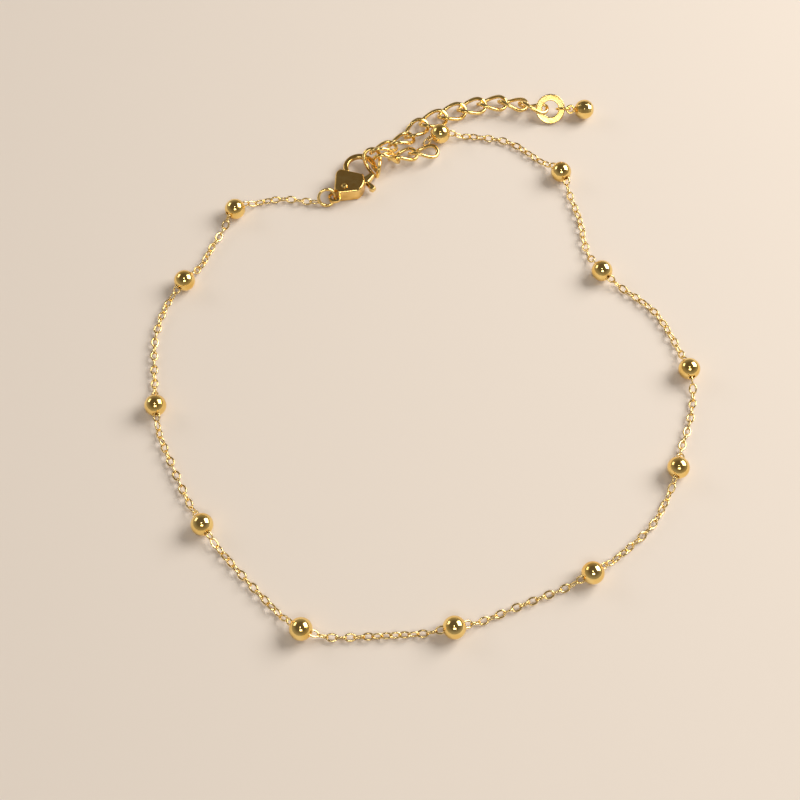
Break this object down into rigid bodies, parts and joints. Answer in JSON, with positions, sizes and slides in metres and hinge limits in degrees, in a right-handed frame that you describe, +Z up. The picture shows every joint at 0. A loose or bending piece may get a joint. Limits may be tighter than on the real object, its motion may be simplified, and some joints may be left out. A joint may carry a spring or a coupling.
{
  "type": "charm anklet",
  "caption": "Gold-coloured charm anklet: fine cable chain with round beads, lever clasp, extension chain of curb links, end tag and ball drop.",
  "frame": {"origin": "centre of the footprint on the surface the anklet lies on", "axes": "+Z up from the surface, +X to the right and +Y away as the loop is laid out with its clasp at the far left"},
  "size_m": [0.076, 0.089, 0.0039],
  "materials": {
    "polished_gold": "mirror-polished gold plating",
    "chain_gold": "bright gold plating on fine drawn wire",
    "link_gold": "bright gold plating, diamond-cut flats",
    "clasp_gold": "polished gold plating on a cast clasp"
  },
  "bodies": {
    "anklet": {"bead_01": "polished_gold", "bead_02": "polished_gold", "bead_03": "polished_gold", "bead_04": "polished_gold", "bead_05": "polished_gold", "bead_06": "polished_gold", "bead_07": "polished_gold", "bead_08": "polished_gold", "bead_09": "polished_gold", "bead_10": "polished_gold", "bead_11": "polished_gold", "bead_12": "polished_gold", "chain_01": "chain_gold", "chain_02": "chain_gold", "chain_03": "chain_gold", "chain_04": "chain_gold", "chain_05": "chain_gold", "chain_06": "chain_gold", "chain_07": "chain_gold", "chain_08": "chain_gold", "chain_09": "chain_gold", "chain_10": "chain_gold", "chain_11": "chain_gold", "chain_12": "chain_gold", "chain_13": "chain_gold", "extension_link_hooked": "link_gold", "extension_link_upper_1": "link_gold", "extension_link_upper_2": "link_gold", "extension_link_upper_3": "link_gold", "extension_link_lower_1": "link_gold", "extension_link_lower_2": "link_gold", "extension_link_lower_3": "link_gold", "extension_link_upper_4": "link_gold", "extension_link_upper_5": "link_gold", "extension_link_upper_6": "link_gold", "extension_link_upper_7": "link_gold", "extension_link_upper_8": "link_gold", "extension_link_upper_9": "link_gold", "clasp_body": "clasp_gold", "clasp_rivet": "clasp_gold", "clasp_jump_ring": "clasp_gold", "end_tag": "link_gold", "drop_jump_ring": "link_gold", "ball_drop": "polished_gold"},
    "clasp_lever": {"clasp_lever": "clasp_gold"}
  },
  "joints": [
    {"name": "lever_swing", "type": "hinge", "parent": "anklet", "child": "clasp_lever", "pos_m": [-0.01143, 0.02604, 0.00108], "axis": [0, 0, 1], "range_deg": [0, 22], "stiffness_Nm_per_rad": 0.01, "springref_deg": -22.92}
  ]
}
